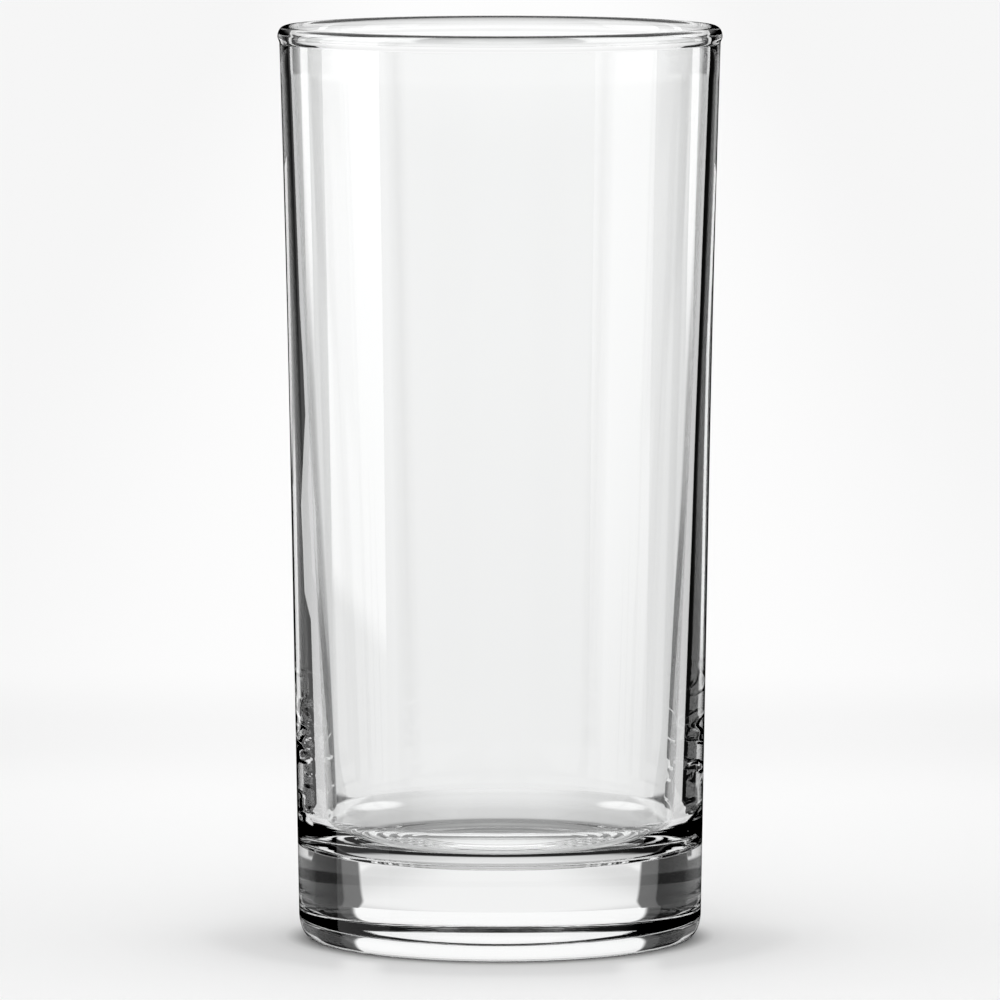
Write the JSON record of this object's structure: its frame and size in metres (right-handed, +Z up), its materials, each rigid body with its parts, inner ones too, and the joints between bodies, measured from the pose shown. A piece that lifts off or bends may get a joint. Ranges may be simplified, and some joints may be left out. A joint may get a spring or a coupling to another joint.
{
  "type": "highball glass",
  "caption": "Tall clear glass tumbler with a slight taper, a fire-polished rim bead and a thick solid base, for long mixed drinks.",
  "frame": {"origin": "centre of the base, on the table plane", "axes": "+Z up along the glass's axis of revolution; X and Y are free, because the glass is round"},
  "size_m": [0.0728, 0.0728, 0.15],
  "materials": {
    "clear_glass": "fire-polished clear soda-lime glass"
  },
  "bodies": {
    "root": {"heavy_base": "clear_glass", "side_wall": "clear_glass", "rim_bead": "clear_glass"}
  },
  "joints": []
}
